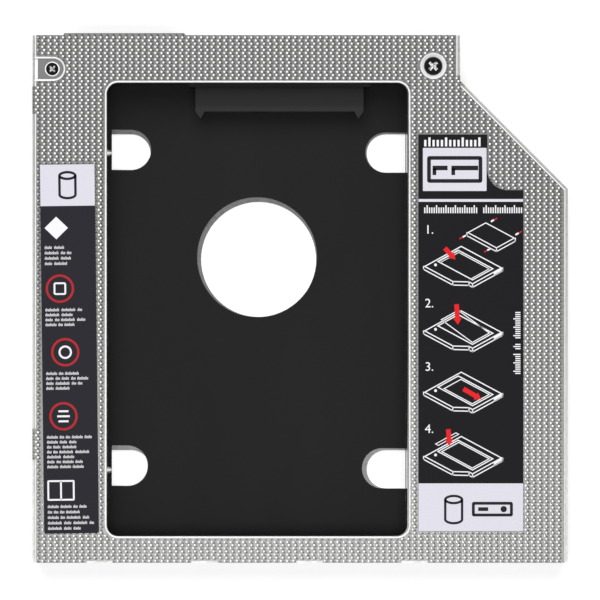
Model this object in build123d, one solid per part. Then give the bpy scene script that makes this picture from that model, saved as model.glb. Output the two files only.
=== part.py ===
from build123d import *
from math import sqrt
import os

# Laptop drive caddy: a flat tray in the shape of a slim optical drive that carries a 2.5 inch drive.
# The underside lies on z = 0, +Y points to the connector edge and +X to the wide wing.

# Height of the body and its cut-off corner; width and depth follow from the bay and what surrounds it
body_height = 12.7
step_width = 25.8
step_length = 10.9

# Sheet metal shells
sheet = 0.5
bend_radius = 0.4
fold_clearance = 0.05
flange_depth = 3.0
pan_bend_radius = 0.6

# What surrounds the drive bay
left_rail = 17.4
right_wing = 38.4
front_bar = 6.35
bay_corner_radius = 2.7
rim_overhang = 0.35
rim_step = 0.3
rim_radius = 0.45

# The 2.5 inch drive that the bay takes, and the room round it
drive_end_gap = 2.4
drive_front_gap = 5.8
drive_side_gap = 1.175
drive_end_to_holes = 14.0
drive_holes_to_front = 9.6
drive_hole_to_side = 4.065
drive_hole_spacing_x = 61.72
drive_hole_spacing_y = 76.6
drive_side_hole_height = 3.0
drive_plug_height = 4.0
drive_floor_gap = 0.2

# Bay floor
liner_thickness = 0.3
liner_clearance = 0.03
liner_window_margin = 0.6
liner_slot_margin = 0.25
liner_shift_x = -0.5
liner_shift_y = 0.55
liner_turn = -0.6
floor_hole_radius = 13.95
floor_offset_x = 0.4
floor_hole_offset_y = 12.1
slot_radius = 4.65
slot_end_gap = 0.5

# Moulded inner frame
frame_wall = 1.2
bay_wall = 1.4
rib = 0.9
rib_pitch = 12.0
wing_cell_width = 12.0
boss_radius = 2.2
frame_clearance = 0.1

# Cover screws and their pressed seats
screw_radius = 1.0
screw_hole_clearance = 0.05
screw_length = 7.0
screw_head_height = 0.6
screw_head_edge = 0.2
seat_depth = 0.8
left_screw_inset_x = 4.7
left_screw_inset_y = 8.05
left_head_radius = 1.5
recess_radius = 2.4
recess_end_offset = 0.3
recess_rim_radius = 0.5
right_screw_inset_x = 6.4
right_screw_inset_y = 7.35
right_head_radius = 2.1
dimple_radius = 3.15
dimple_floor_radius = 2.25
dimple_bend = 0.3
cross_length_share = 0.62
cross_width_share = 0.2
cross_depth_share = 0.75
cross_taper = 12.0
cross_turn = 45.0

# Edge details of the top cover
left_tab_rear_inset = 12.25
left_tab_rear_length = 6.5
left_tab_front_inset = 24.65
left_tab_front_length = 7.4
corner_relief = 1.2
rear_lip_inset = 7.5
rear_lip_width = 28.7
rear_lip_reach = 0.5
clip_notch_inset = 16.0
clip_notch_pitch = 25.1
clip_notch_count = 4
clip_notch_width = 6.3
clip_window_height = 3.4
clip_window_drop = 2.0

# Circuit board
board_thickness = 1.0
board_gap = 0.2
board_rear_gap = 0.25
board_left_margin = 1.65
board_right_margin = 4.7
board_pocket_clearance = 0.3
post_radius = 1.9
board_screw_radius = 0.9
board_screw_length = 1.5
board_screw_head_radius = 1.6
board_screw_side_inset = 2.4
board_screw_setback = 2.1

# Contacts
contact_thickness = 0.25
contact_width = 0.7
contact_pitch = 1.27
signal_contact_count = 7
foot_length = 0.8
foot_drop_gap = 0.5
channel_clearance = 0.05

# Drive receptacle: 7 signal and 15 power contacts in one housing
power_contact_count = 15
signal_to_power_gap = 6.35
receptacle_offset_x = 5.5
receptacle_end_wall = 3.125
receptacle_height = 5.4
receptacle_reach = 6.6
receptacle_back = 5.3
ear_width = 2.2
ear_tip_inset = 1.25
ear_tip_length = 1.8
receptacle_lip_overhang = 1.6
receptacle_lip_rise = 1.0
receptacle_lip_thickness = 0.8
receptacle_slot_height = 1.9
receptacle_slot_depth = 5.0
slot_end_margin = 1.2
key_width = 1.3
key_height = 1.2
spring_rise = 0.6
spring_tip_rise = 0.1
spring_tip_inset = 0.5
spring_peak_inset = 1.4
spring_foot_inset = 3.2

# Host plug: 7 signal and 6 power contacts on two tongues
host_plug_inset = 21.85
host_plug_height = 5.4
host_tail_space = 2.3
host_power_contact_count = 6
host_power_pitch = 1.0
host_signal_to_power_gap = 4.6
host_power_contact_width = 0.6
host_mouth_wall = 1.0
host_mouth_side_gap = 0.69
host_mouth_depth = 5.6
tongue_thickness = 1.3
tongue_setback = 0.9
tongue_key_drop = 0.6
tongue_end_margin = 0.9
tongue_contact_setback = 0.5
plug_window_clearance = 0.15

# Solder tabs of both connectors
tab_thickness = 0.3
tab_length = 2.4
tab_height = 2.6
tab_foot = 1.1

# Chip components on the board
capacitor_size = (3.2, 1.6, 1.5)
capacitor_count = 4
resistor_size = (1.6, 0.8, 0.5)
resistor_count = 4
chip_pitch = 5.0
chip_cap_share = 0.2
chip_cap_step = 0.05
chip_zone = 4.0
chip_setback = 2.0
resistor_setback = 1.4

# Locating pins for the drive's side holes
pin_radius = 0.9
pin_reach = 1.2
pin_tip_radius = 0.25
pin_head_radius = 1.5
pin_head_thickness = 0.5

# Threaded holes for the computer's retaining bracket
bracket_hole_radius = 0.8
bracket_hole_depth = 4.0
bracket_hole_inset = 3.9
bracket_hole_spacing = 11.0
bracket_pad = 2.4
bracket_notch_margin = 0.4

# Printed labels
label_thickness = 0.12
label_corner_radius = 0.5
left_label_size = (13.1, 88.2)
left_label_inset_x = 8.85
left_label_centre_y = -11.9
left_label_tilt = 0.68
right_label_left_inset = 35.8
right_label_width = 25.1
right_label_head_width = 16.5
right_label_rear_inset = 23.75
right_label_head_length = 13.3
right_label_front_inset = 7.55
right_label_fillet = 4.8

# Overrun that lets a cutting body pass clear through a wall
over = 1.0

# Connector widths, from their rows of contacts
signal_span = (signal_contact_count - 1) * contact_pitch
power_span = (power_contact_count - 1) * contact_pitch
receptacle_span = signal_span + signal_to_power_gap + power_span
receptacle_width = receptacle_span + 2 * (slot_end_margin + receptacle_end_wall)
host_power_span = (host_power_contact_count - 1) * host_power_pitch
host_span = signal_span + host_signal_to_power_gap + host_power_span
host_side = tongue_end_margin + tongue_thickness + host_mouth_side_gap + host_mouth_wall
host_plug_width = host_span + 2 * host_side

# Size of the bay and of the whole body
bay_width = drive_hole_spacing_x + 2 * (drive_hole_to_side + drive_side_gap)
drive_length = drive_end_to_holes + drive_hole_spacing_y + drive_holes_to_front
bay_length = drive_end_gap + drive_length + drive_front_gap
rear_bar = receptacle_back + foot_drop_gap + foot_length + chip_zone + board_rear_gap + sheet
body_width = left_rail + bay_width + right_wing
body_depth = front_bar + bay_length + rear_bar

# Places that several pieces share
half_width = body_width / 2
half_depth = body_depth / 2
plate_under = body_height - sheet
step_x = half_width - step_width
step_y = half_depth - step_length
flange_inset = sheet + fold_clearance
fold_line = flange_inset + bend_radius
frame_side_inset = flange_inset + sheet + fold_clearance
frame_end_inset = sheet + frame_clearance
seat_under = body_height - seat_depth - sheet

bay_left = left_rail - half_width
bay_right = half_width - right_wing
bay_front = front_bar - half_depth
bay_rear = half_depth - rear_bar
bay_x = (bay_left + bay_right) / 2
bay_y = (bay_front + bay_rear) / 2

liner_top = sheet + liner_thickness
drive_bottom = liner_top + drive_floor_gap
drive_end = bay_rear - drive_end_gap
drive_rows = (drive_end - drive_end_to_holes, drive_end - drive_end_to_holes - drive_hole_spacing_y)

left_screw = (left_screw_inset_x - half_width, half_depth - left_screw_inset_y)
right_screw = (step_x - right_screw_inset_x, half_depth - right_screw_inset_y)

receptacle_x = bay_x + receptacle_offset_x
receptacle_mouth = bay_rear - receptacle_reach
receptacle_rear = bay_rear + receptacle_back
receptacle_centre_z = drive_bottom + drive_plug_height
first_signal_x = receptacle_x - receptacle_span / 2
first_power_x = first_signal_x + signal_span + signal_to_power_gap

board_top = receptacle_centre_z - receptacle_height / 2
board_under = board_top - board_thickness
board_front = bay_rear + bay_wall + board_gap
board_rear = half_depth - sheet - board_rear_gap

host_x = host_plug_inset - half_width
host_rear = half_depth + rear_lip_reach
host_front = board_front + host_tail_space
host_centre_z = board_top + host_plug_height / 2
first_host_signal_x = host_x - host_span / 2
first_host_power_x = first_host_signal_x + signal_span + host_signal_to_power_gap
tongue_rear = host_rear - tongue_setback
tongue_top = host_centre_z + tongue_thickness / 2

board_left = host_x - host_plug_width / 2 - board_left_margin
board_right = receptacle_x + receptacle_width / 2 + board_right_margin
between_connectors = (host_x + host_plug_width / 2 + receptacle_x - receptacle_width / 2) / 2
board_screws_at = (
    (between_connectors, board_rear - board_screw_setback),
    (board_right - board_screw_side_inset, board_rear - board_screw_setback),
)

bracket_z = body_height / 2
bracket_holes_at = (
    step_x - bracket_hole_inset - bracket_hole_spacing,
    step_x - bracket_hole_inset,
)


def block(x_range, y_range, z_range):
    """Rectangular block between three pairs of limits."""
    limits = (x_range, y_range, z_range)
    middle = [(low + high) / 2 for low, high in limits]
    return Pos(*middle) * Box(*[high - low for low, high in limits])


def rise(sketch, low, high):
    """Prism over a flat sketch, from one height to another."""
    return Pos(0, 0, low) * extrude(sketch, amount=high - low)


def outline(side, end):
    """Plan of the body, drawn in by one amount at the sides and another at front and rear."""
    left = side - half_width
    right = half_width - side
    front = end - half_depth
    rear = half_depth - end
    step = step_x - side
    diagonal = step_x + step_y - sqrt(2) * side
    corners = [
        (left, front),
        (right, front),
        (right, diagonal - right),
        (step, diagonal - step),
        (step, rear),
        (left, rear),
    ]
    return make_face(Polyline(*corners, close=True))


def bay_plan(grow=0.0):
    """Plan of the drive bay, with its walls moved outwards."""
    radius = bay_corner_radius + grow
    return Pos(bay_x, bay_y) * RectangleRounded(bay_width + 2 * grow, bay_length + 2 * grow, radius)


def opening_plan():
    """Plan of the opening in the top sheet, which overhangs the bay's left wall and clears its right one."""
    width = bay_width - rim_overhang + rim_step
    middle = bay_x + (rim_overhang + rim_step) / 2
    return Pos(middle, bay_y) * RectangleRounded(width, bay_length, bay_corner_radius)


def floor_openings(window_margin=0.0, slot_margin=0.0):
    """Round window and four screw slots of the bay floor, about the middle of the bay."""
    shape = Pos(0, floor_hole_offset_y) * Circle(floor_hole_radius + window_margin)
    slot = slot_radius + slot_margin
    arc_x = drive_hole_spacing_x / 2
    length = bay_width / 2 + over - arc_x
    for side in (-1, 1):
        for row in drive_rows:
            shape += Pos(side * arc_x, row - bay_y) * Circle(slot)
            shape += Pos(side * (arc_x + length / 2), row - bay_y) * Rectangle(length, 2 * slot)
    return shape


def floor_cutouts(openings, shift=(0.0, 0.0), turn=0.0):
    """Openings set in the bay floor, where the slots end straight and short of the side walls."""
    middle_x = bay_x + floor_offset_x
    limits = Pos(middle_x, bay_y) * Rectangle(bay_width - 2 * slot_end_gap, bay_length)
    return Pos(middle_x + shift[0], bay_y + shift[1]) * Rot(0, 0, turn) * openings & limits


def recess_plan(grow):
    """Plan of the pressed seat of the left screw, open to the side."""
    end_x = left_screw[0] + recess_end_offset
    start_x = -half_width - over
    plan = Pos(end_x, left_screw[1]) * Circle(recess_radius + grow)
    plan += Pos((start_x + end_x) / 2, left_screw[1]) * Rectangle(end_x - start_x, 2 * (recess_radius + grow))
    return plan


def clip_notch_places():
    """Middles of the bezel clip notches along the front edge."""
    first = clip_notch_inset - half_width
    return [first + index * clip_notch_pitch for index in range(clip_notch_count)]


def clip_window(x, y_range):
    """Cutting body for the window that takes one clip of the bezel."""
    top = plate_under - clip_window_drop
    return block((x - clip_notch_width / 2, x + clip_notch_width / 2), y_range, (top - clip_window_height, top))


def folded_sheet():
    """Top plate with its side flanges folded down; front and rear edges stay flat."""
    foot = plate_under - flange_depth
    cap = rise(outline(flange_inset, 0), foot, body_height)
    side_edges = [
        edge for edge in cap.edges().group_by(Axis.Z)[-1] if abs(edge.center().Y) < half_depth - fold_clearance
    ]
    cap = fillet(side_edges, bend_radius)
    cap -= rise(outline(flange_inset + sheet, -over), foot - over, plate_under)
    return cap - end_strips(foot)


def end_strips(foot):
    """Front and rear strips under the plate, where the flanges stop short of the pan's end walls."""
    strips = Part()
    for end in (-1, 1):
        y_range = sorted((end * (half_depth + over), end * (half_depth - flange_inset)))
        strips += block((-body_width, body_width), y_range, (foot - over, plate_under))
    return strips


def flat_tabs(shell):
    """Stretches where the plate isn't folded and reaches the edge of the pan below it."""
    left = -half_width
    tabs = (
        (half_depth - left_tab_rear_inset - left_tab_rear_length, half_depth - left_tab_rear_inset),
        (left_tab_front_inset - half_depth, left_tab_front_inset + left_tab_front_length - half_depth),
    )
    places = [((left - over, left + fold_line), tab) for tab in tabs]
    relief_y = (step_y - corner_relief, step_y + corner_relief)
    places.append(((step_x - fold_line, step_x + corner_relief), relief_y))
    plate = rise(outline(0, 0), plate_under, body_height)
    for x_range, y_range in places:
        shell -= block(x_range, y_range, (plate_under - flange_depth - over, body_height + over))
        shell += plate & block(x_range, y_range, (plate_under, body_height))
    return shell


def press_left_seat(shell):
    """Pressed U-shaped seat of the left screw, with a rolled rim."""
    tray = rise(recess_plan(sheet), seat_under, body_height)
    inside = rise(outline(flange_inset, 0), seat_under, body_height)
    shell += tray & inside
    shell -= rise(recess_plan(0), body_height - seat_depth, body_height + over)
    rim = [
        edge
        for edge in shell.edges().group_by(Axis.Z)[-1]
        if abs(edge.center().Y - left_screw[1]) <= recess_radius + fold_clearance
        and edge.center().X < left_screw[0] + 2 * recess_radius
        and edge.center().X > fold_line - half_width
    ]
    return fillet(rim, recess_rim_radius)


def press_right_seat(shell):
    """Dished seat of the right screw."""
    depth = seat_depth + sheet
    x, y = right_screw
    skirt = Cone(dimple_floor_radius + dimple_bend, dimple_radius + sheet, depth)
    dish = Cone(dimple_floor_radius, dimple_radius, seat_depth)
    shell += Pos(x, y, body_height - depth / 2) * skirt
    shell -= Pos(x, y, body_height - seat_depth / 2) * dish
    return shell


def top_cover():
    """Stamped top sheet: folded sides, bay opening, screw seats, rear lip and clip notches."""
    shell = flat_tabs(folded_sheet())
    lip_left = rear_lip_inset - half_width
    lip_right = lip_left + rear_lip_width
    lip_outline = [
        (lip_left, half_depth - over),
        (lip_right + rear_lip_reach, half_depth - over),
        (lip_right + rear_lip_reach, half_depth),
        (lip_right, half_depth + rear_lip_reach),
        (lip_left, half_depth + rear_lip_reach),
    ]
    shell += rise(make_face(Polyline(*lip_outline, close=True)), plate_under, body_height)
    for x in clip_notch_places():
        notch_x = (x - clip_notch_width / 2, x + clip_notch_width / 2)
        notch_z = (plate_under - over, body_height + over)
        shell -= block(notch_x, (-half_depth - over, sheet - half_depth), notch_z)
    shell = press_right_seat(press_left_seat(shell))
    for x, y in (left_screw, right_screw):
        hole = Cylinder(screw_radius + frame_clearance, 2 * (seat_depth + sheet + over))
        shell -= Pos(x, y, body_height) * hole
    shell -= rise(opening_plan(), plate_under - over, body_height + over)
    bay_x_range = (bay_left - over, bay_right + over)
    bay_y_range = (bay_front - over, bay_rear + over)
    top_edges = shell.edges().group_by(Axis.Z)[-1]
    rim = top_edges.filter_by_position(Axis.X, *bay_x_range).filter_by_position(Axis.Y, *bay_y_range)
    return fillet(rim, rim_radius)


def bottom_cover():
    """Folded bottom pan with its floor openings, clip windows, plug window and notch for the bracket."""
    solid = rise(outline(0, 0), 0, plate_under)
    solid = fillet(solid.edges().group_by(Axis.Z)[0], pan_bend_radius)
    shell = solid - rise(outline(sheet, sheet), sheet, plate_under + over)
    shell -= rise(floor_cutouts(floor_openings()), -over, sheet + over)
    shell -= rise(recess_plan(0), body_height - seat_depth, plate_under + over)
    for x in clip_notch_places():
        shell -= clip_window(x, (-half_depth - over, sheet - half_depth))
    plug_half = host_plug_width / 2 + plug_window_clearance
    plug_z = (board_top - plug_window_clearance, board_top + host_plug_height + plug_window_clearance)
    shell -= block((host_x - plug_half, host_x + plug_half), (half_depth - sheet, half_depth + over), plug_z)
    reach = bracket_pad + bracket_notch_margin
    notch_x = (bracket_holes_at[0] - reach, bracket_holes_at[-1] + reach)
    notch_z = (bracket_z - reach, plate_under + over)
    return shell - block(notch_x, (half_depth - sheet, half_depth + over), notch_z)


def floor_liner():
    """Black film on the bay floor; its cut-outs are wider than the pan's and lie a little askew."""
    openings = floor_openings(liner_window_margin, liner_slot_margin)
    cutouts = floor_cutouts(openings, (liner_shift_x, liner_shift_y), liner_turn)
    return rise(bay_plan(-liner_clearance) - cutouts, sheet, liner_top)


def rib_plan():
    """Straight ribs that divide the hollow wings of the frame into small cells."""
    plan = Sketch()
    for row in range(1, int(body_depth // rib_pitch) + 1):
        plan += Pos(0, row * rib_pitch - half_depth) * Rectangle(2 * body_width, rib)
    wing_left = bay_right + bay_wall
    wing_right = half_width - frame_side_inset - frame_wall
    cells = max(1, round((wing_right - wing_left) / wing_cell_width))
    for column in range(1, cells):
        x = wing_left + column * (wing_right - wing_left) / cells
        plan += Pos(x, 0) * Rectangle(rib, 2 * body_depth)
    return plan


def screw_bosses():
    """Bosses under the cover screws."""
    bosses = Part()
    for x, y in (left_screw, right_screw):
        bosses += Pos(x, y, (sheet + seat_under) / 2) * Cylinder(boss_radius, seat_under - sheet)
    return bosses


def bracket_pads():
    """Pads behind the rear wall that hold the threaded bracket holes."""
    pads = Part()
    rear = half_depth - frame_end_inset
    pad_z = (bracket_z - bracket_pad, bracket_z + bracket_pad)
    for x in bracket_holes_at:
        pads += block((x - bracket_pad, x + bracket_pad), (rear - bracket_hole_depth, rear), pad_z)
    return pads


def board_posts():
    """Posts that carry the circuit board, each with a low web to the bay's rear wall."""
    posts = Part()
    for x, y in board_screws_at:
        posts += Pos(x, y, (sheet + board_under) / 2) * Cylinder(post_radius, board_under - sheet)
        posts += block((x - rib, x + rib), (bay_rear + bay_wall / 2, y), (sheet, board_under))
    return posts


def frame_walls():
    """Bay walls, outer wall and ribs, open above and below."""
    hollows = outline(frame_side_inset + frame_wall, frame_end_inset + frame_wall)
    hollows = hollows - bay_plan(bay_wall) - rib_plan()
    plan = outline(frame_side_inset, frame_end_inset) - bay_plan() - hollows
    return rise(plan, sheet, plate_under)


def frame_openings():
    """Cutting bodies for the board's pocket, the receptacle's window and the clip pockets."""
    pocket_x = (board_left - board_pocket_clearance, board_right + board_pocket_clearance)
    cuts = block(pocket_x, (bay_rear + bay_wall, half_depth), (sheet - over, plate_under + over))
    window_half = receptacle_width / 2 + frame_clearance
    window_x = (receptacle_x - window_half, receptacle_x + window_half)
    window_z = (board_top - frame_clearance, board_top + receptacle_height + frame_clearance)
    cuts += block(window_x, (bay_rear - over, bay_rear + bay_wall), window_z)
    for x in clip_notch_places():
        cuts += clip_window(x, (-half_depth, frame_end_inset + frame_wall - half_depth))
    return cuts


def frame_screw_holes():
    """Cutting bodies for every screw hole and pin hole of the frame."""
    holes = Part()
    for x, y in (left_screw, right_screw):
        holes += Pos(x, y, seat_under) * Cylinder(screw_radius + screw_hole_clearance, 2 * screw_length)
    for x, y in board_screws_at:
        radius = board_screw_radius + screw_hole_clearance
        holes += Pos(x, y, board_under) * Cylinder(radius, 2 * board_screw_length)
    rear = half_depth - frame_end_inset
    for x in bracket_holes_at:
        hole = Cylinder(bracket_hole_radius, 2 * bracket_hole_depth)
        holes += Pos(x, rear, bracket_z) * Rot(90, 0, 0) * hole
    for row in drive_rows:
        holes += pin_at(row, pin_radius + screw_hole_clearance, pin_head_radius + frame_clearance)
    return holes


def inner_frame():
    """Moulded frame: walls round the bay, an outer wall, ribs, screw bosses and the board's pocket."""
    frame = frame_walls() - rise(recess_plan(sheet + frame_clearance), seat_under, plate_under + over)
    dimple = Cylinder(dimple_radius + sheet + frame_clearance, 2 * (plate_under - seat_under))
    frame -= Pos(*right_screw, plate_under) * dimple
    frame -= frame_openings()
    frame += screw_bosses() + bracket_pads() + board_posts()
    return frame - frame_screw_holes()


def pin_at(row, shank, head):
    """Turned pin through the left bay wall: a head behind the wall, a shank and a cone tip in the bay."""
    back = bay_left - bay_wall
    profile = [
        (back - pin_head_thickness, 0),
        (back - pin_head_thickness, head),
        (back, head),
        (back, shank),
        (bay_left, shank),
        (bay_left + pin_reach, pin_tip_radius),
        (bay_left + pin_reach, 0),
    ]
    section = make_face(Polyline(*profile, close=True))
    turned = revolve(section, axis=Axis.X)
    return Pos(0, row, drive_bottom + drive_side_hole_height) * turned


def locating_pins():
    """Two pins that enter the drive's side holes."""
    return [pin_at(row, pin_radius, pin_head_radius) for row in drive_rows]


def circuit_board():
    """Adapter board between the two connectors, with its screw holes."""
    board = block((board_left, board_right), (board_front, board_rear), (board_under, board_top))
    for x, y in board_screws_at:
        hole = Cylinder(board_screw_radius + frame_clearance, 2 * (board_thickness + over))
        board -= Pos(x, y, board_top) * hole
    return board


def contact_row(first_x, pitch, count):
    """Middles of a row of contacts."""
    return [first_x + index * pitch for index in range(count)]


def strip(width, points):
    """Flat strip bent along a line of (y, z) points."""
    path = Polyline(*[(0, y, z) for y, z in points])
    start = Plane(origin=path @ 0, x_dir=(1, 0, 0), z_dir=path % 0)
    return sweep(start * Rectangle(width, contact_thickness), path=path, transition=Transition.RIGHT)


def contact_channels(row, width, y_range, middle_z):
    """Cutting bodies for the channels that a row of contacts passes through."""
    channels = Part()
    half = width / 2 + channel_clearance
    low = middle_z - contact_thickness / 2
    for x in row:
        channels += block((x - half, x + half), y_range, (low, low + contact_thickness + channel_clearance))
    return channels


def slot_cut(first_x, span, key_side):
    """L-shaped slot that takes one of the drive's blades."""
    left = first_x - slot_end_margin
    right = first_x + span + slot_end_margin
    low = receptacle_centre_z - receptacle_slot_height / 2
    high = receptacle_centre_z + receptacle_slot_height / 2
    depth = (receptacle_mouth - over, receptacle_mouth + receptacle_slot_depth)
    cut = block((left, right), depth, (low, high))
    key_x = (left, left + key_width) if key_side < 0 else (right - key_width, right)
    return cut + block(key_x, depth, (high, high + key_height))


def receptacle_contact_z():
    """Height of the receptacle's contact strips, which lie on the floor of the slots."""
    return receptacle_centre_z - receptacle_slot_height / 2 + contact_thickness / 2


def drive_receptacle_housing():
    """Moulded receptacle with guide ears, two keyed slots and a channel for every contact."""
    half = receptacle_width / 2
    plan = [
        (-half, receptacle_rear),
        (-half, receptacle_mouth),
        (ear_tip_inset - half, receptacle_mouth - ear_tip_length),
        (ear_width - half, receptacle_mouth),
        (half - ear_width, receptacle_mouth),
        (half - ear_tip_inset, receptacle_mouth - ear_tip_length),
        (half, receptacle_mouth),
        (half, receptacle_rear),
    ]
    body = rise(make_face(Polyline(*plan, close=True)), board_top, board_top + receptacle_height)
    lip = Rectangle(receptacle_width + 2 * receptacle_lip_overhang, receptacle_lip_thickness)
    lip_plan = Pos(0, bay_rear - receptacle_lip_thickness / 2) * lip
    body += rise(lip_plan, board_top, board_top + receptacle_height + receptacle_lip_rise)
    body = Pos(receptacle_x, 0, 0) * body
    body -= slot_cut(first_signal_x, signal_span, 1)
    body -= slot_cut(first_power_x, power_span, 1)
    rows = contact_row(first_signal_x, contact_pitch, signal_contact_count)
    rows += contact_row(first_power_x, contact_pitch, power_contact_count)
    channel_y = (receptacle_mouth + receptacle_slot_depth - over, receptacle_rear + over)
    return body - contact_channels(rows, contact_width, channel_y, receptacle_contact_z())


def receptacle_contacts(first_x, count):
    """Spring contacts: a bowed tip in the slot, a straight run through the housing and a foot on the board."""
    middle = receptacle_contact_z()
    drop_y = receptacle_rear + foot_drop_gap
    foot_z = board_top + contact_thickness / 2
    points = [
        (receptacle_mouth + spring_tip_inset, middle + spring_tip_rise),
        (receptacle_mouth + spring_peak_inset, middle + spring_rise),
        (receptacle_mouth + spring_foot_inset, middle),
        (drop_y, middle),
        (drop_y, foot_z),
        (drop_y + foot_length, foot_z),
    ]
    contact = strip(contact_width, points)
    return [Pos(x, 0, 0) * contact for x in contact_row(first_x, contact_pitch, count)]


def tongue(first_x, span, key_side):
    """L-shaped tongue that carries one group of contacts."""
    left = first_x - tongue_end_margin
    right = first_x + span + tongue_end_margin
    reach = (host_rear - host_mouth_depth - host_mouth_wall, tongue_rear)
    blade = block((left, right), reach, (tongue_top - tongue_thickness, tongue_top))
    key_x = (left - tongue_thickness, left) if key_side < 0 else (right, right + tongue_thickness)
    key_low = tongue_top - tongue_thickness - tongue_key_drop
    return blade + block(key_x, reach, (key_low, tongue_top))


def host_plug_housing():
    """Moulded plug at the rear edge with two keyed tongues in one mouth."""
    half = host_plug_width / 2
    z_range = (board_top, board_top + host_plug_height)
    body = block((host_x - half, host_x + half), (host_front, host_rear), z_range)
    mouth_half = half - host_mouth_wall
    mouth_z = (board_top + host_mouth_wall, board_top + host_plug_height - host_mouth_wall)
    mouth_y = (host_rear - host_mouth_depth, host_rear + over)
    body -= block((host_x - mouth_half, host_x + mouth_half), mouth_y, mouth_z)
    body += tongue(first_host_signal_x, signal_span, -1)
    body += tongue(first_host_power_x, host_power_span, 1)
    channel_y = (host_front - over, host_rear - host_mouth_depth)
    middle = tongue_top + contact_thickness / 2
    signals = contact_row(first_host_signal_x, contact_pitch, signal_contact_count)
    powers = contact_row(first_host_power_x, host_power_pitch, host_power_contact_count)
    body -= contact_channels(signals, contact_width, channel_y, middle)
    return body - contact_channels(powers, host_power_contact_width, channel_y, middle)


def host_contacts(row, width):
    """Flat contacts on a tongue, with a tail that drops to the board in front of the housing."""
    middle = tongue_top + contact_thickness / 2
    drop_y = host_front - foot_drop_gap
    foot_z = board_top + contact_thickness / 2
    points = [
        (tongue_rear - tongue_contact_setback, middle),
        (drop_y, middle),
        (drop_y, foot_z),
        (drop_y - foot_length, foot_z),
    ]
    contact = strip(width, points)
    return [Pos(x, 0, 0) * contact for x in row]


def host_signal_contacts():
    """Contacts of the tongue that carries data."""
    return host_contacts(contact_row(first_host_signal_x, contact_pitch, signal_contact_count), contact_width)


def host_power_contacts():
    """Contacts of the tongue that carries power."""
    row =contact_row(first_host_power_x, host_power_pitch, host_power_contact_count)
    return host_contacts(row, host_power_contact_width)


def solder_tabs(centre_x, width, front_y):
    """Pair of bent metal tabs that hold a connector's ends to the board."""
    tabs = []
    for side in (-1, 1):
        face = centre_x + side * width / 2
        outer = face + side * tab_thickness
        toe = outer + side * tab_foot
        y_range = (front_y, front_y + tab_length)
        plate = block(sorted((face, outer)), y_range, (board_top, board_top + tab_height))
        foot = block(sorted((outer, toe)), y_range, (board_top, board_top + tab_thickness))
        tabs.append(plate + foot)
    return tabs


def chip_row(size, count, y):
    """Row of chip components with raised metal end caps, on the board behind the receptacle."""
    length, width, height = size
    cap = length * chip_cap_share
    chips = []
    start = receptacle_x - (count - 1) * chip_pitch / 2
    for index in range(count):
        x = start + index * chip_pitch
        caps = Box(length, width, height) - Box(length - 2 * cap, width, height)
        waist = Box(length - 2 * cap, width - 2 * chip_cap_step, height - 2 * chip_cap_step)
        chips.append(Pos(x, y, board_top + height / 2) * (caps + waist))
    return chips


def cross_recess(head_radius):
    """Cutting body for a cross-shaped driver recess."""
    length = 2 * head_radius * cross_length_share
    width = 2 * head_radius * cross_width_share
    cross = Rot(0, 0, cross_turn) * (Rectangle(length, width) + Rectangle(width, length))
    return extrude(cross, amount=-screw_head_height * cross_depth_share, taper=cross_taper)


def screw(radius, length, head_radius):
    """Pan-head screw with its head's underside at z = 0."""
    head = Pos(0, 0, screw_head_height / 2) * Cylinder(head_radius, screw_head_height)
    head = chamfer(head.edges().group_by(Axis.Z)[-1], screw_head_edge)
    shank = Pos(0, 0, -length / 2) * Cylinder(radius, length)
    return head + shank - Pos(0, 0, screw_head_height) * cross_recess(head_radius)


def cover_screw(place, head_radius):
    """Screw that holds the top cover to a boss of the frame."""
    x, y = place
    return Pos(x, y, body_height - seat_depth) * screw(screw_radius, screw_length, head_radius)


def board_screws():
    """Screws that hold the circuit board to the frame's posts."""
    fixing = screw(board_screw_radius, board_screw_length, board_screw_head_radius)
    return [Pos(x, y, board_top) * fixing for x, y in board_screws_at]


def left_label():
    """Long printed sticker on the left rail, stuck on slightly askew."""
    width, length = left_label_size
    plan = Rot(0, 0, left_label_tilt) * RectangleRounded(width, length, label_corner_radius)
    placed = Pos(left_label_inset_x - half_width, left_label_centre_y) * plan
    return rise(placed, body_height, body_height + label_thickness)


def right_label():
    """Printed sticker on the wing, with a narrower head that meets the body in a concave curve."""
    left = half_width - right_label_left_inset
    right = left + right_label_width
    neck = left + right_label_head_width
    rear = half_depth - right_label_rear_inset
    shoulder = rear - right_label_head_length
    front = right_label_front_inset - half_depth
    edge = Polyline(
        (neck + right_label_fillet, shoulder),
        (right, shoulder),
        (right, front),
        (left, front),
        (left, rear),
        (neck, rear),
        (neck, shoulder + right_label_fillet),
    )
    curve = RadiusArc(edge @ 0, edge @ 1, right_label_fillet)
    plan = make_face(edge + curve)
    return rise(plan, body_height, body_height + label_thickness)


def solids_of(shape):
    """Every solid of a shape or of a list of shapes."""
    if isinstance(shape, list):
        return [solid for item in shape for solid in item.solids()]
    return shape.solids()


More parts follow.
